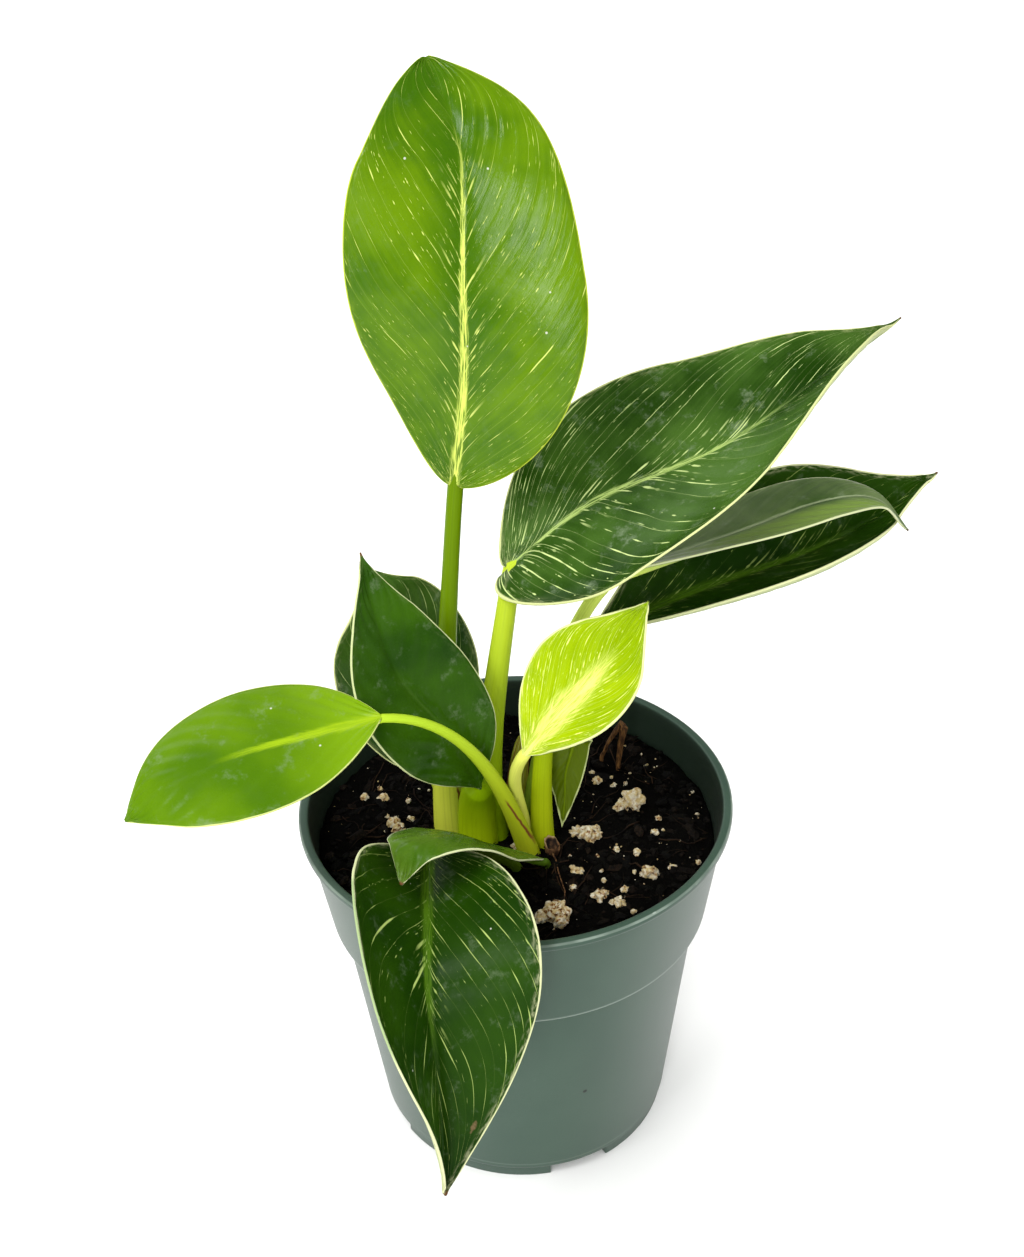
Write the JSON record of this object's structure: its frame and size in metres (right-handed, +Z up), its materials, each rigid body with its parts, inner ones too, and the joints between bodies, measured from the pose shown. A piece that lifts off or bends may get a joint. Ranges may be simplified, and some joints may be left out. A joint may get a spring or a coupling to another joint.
{
  "type": "potted philodendron birkin",
  "caption": "Young potted aroid with pale-striped, pointed leaves on upright stalks, standing in soil in a round tapered nursery pot with a wide band and notched foot.",
  "frame": {"origin": "middle of the flat pad under the pot, on the plane that the pot stands on, on the pot's axis", "axes": "+Z is up along the pot's axis; -Y is the front, where one leaf hangs over the rim; +X is to the right as seen from the front, where the long leaves reach"},
  "size_m": [0.207, 0.1519, 0.2847],
  "materials": {
    "pot": "satin",
    "soil": "matte",
    "perlite": "matte",
    "stalk": "satin",
    "leaf_dark": "satin",
    "leaf_mid": "satin",
    "leaf_lime": "satin",
    "dry_sheath": "matte",
    "bark": "matte"
  },
  "bodies": {
    "root": {"pot": "pot", "soil": "soil", "petiole_tall": "stalk", "petiole_broad_right": "stalk", "petiole_rear_right": "stalk", "petiole_arching_right": "stalk", "petiole_dark_left": "stalk", "petiole_behind_left": "stalk", "petiole_reaching_left": "stalk", "petiole_young_lime": "stalk", "petiole_hanging_front": "stalk", "petiole_small_folded": "stalk", "petiole_small_drooping": "stalk", "leaf_tall": "leaf_mid", "leaf_broad_right": "leaf_dark", "leaf_rear_right": "leaf_dark", "leaf_arching_right": "leaf_dark", "leaf_dark_left": "leaf_dark", "leaf_behind_left": "leaf_dark", "leaf_reaching_left": "leaf_lime", "leaf_young_lime": "leaf_lime", "leaf_hanging_front": "leaf_dark", "leaf_small_folded": "leaf_mid", "leaf_small_drooping": "leaf_mid", "dry_sheath": "dry_sheath", "cut_stalk": "bark", "bark_curl": "bark"}
  },
  "joints": []
}
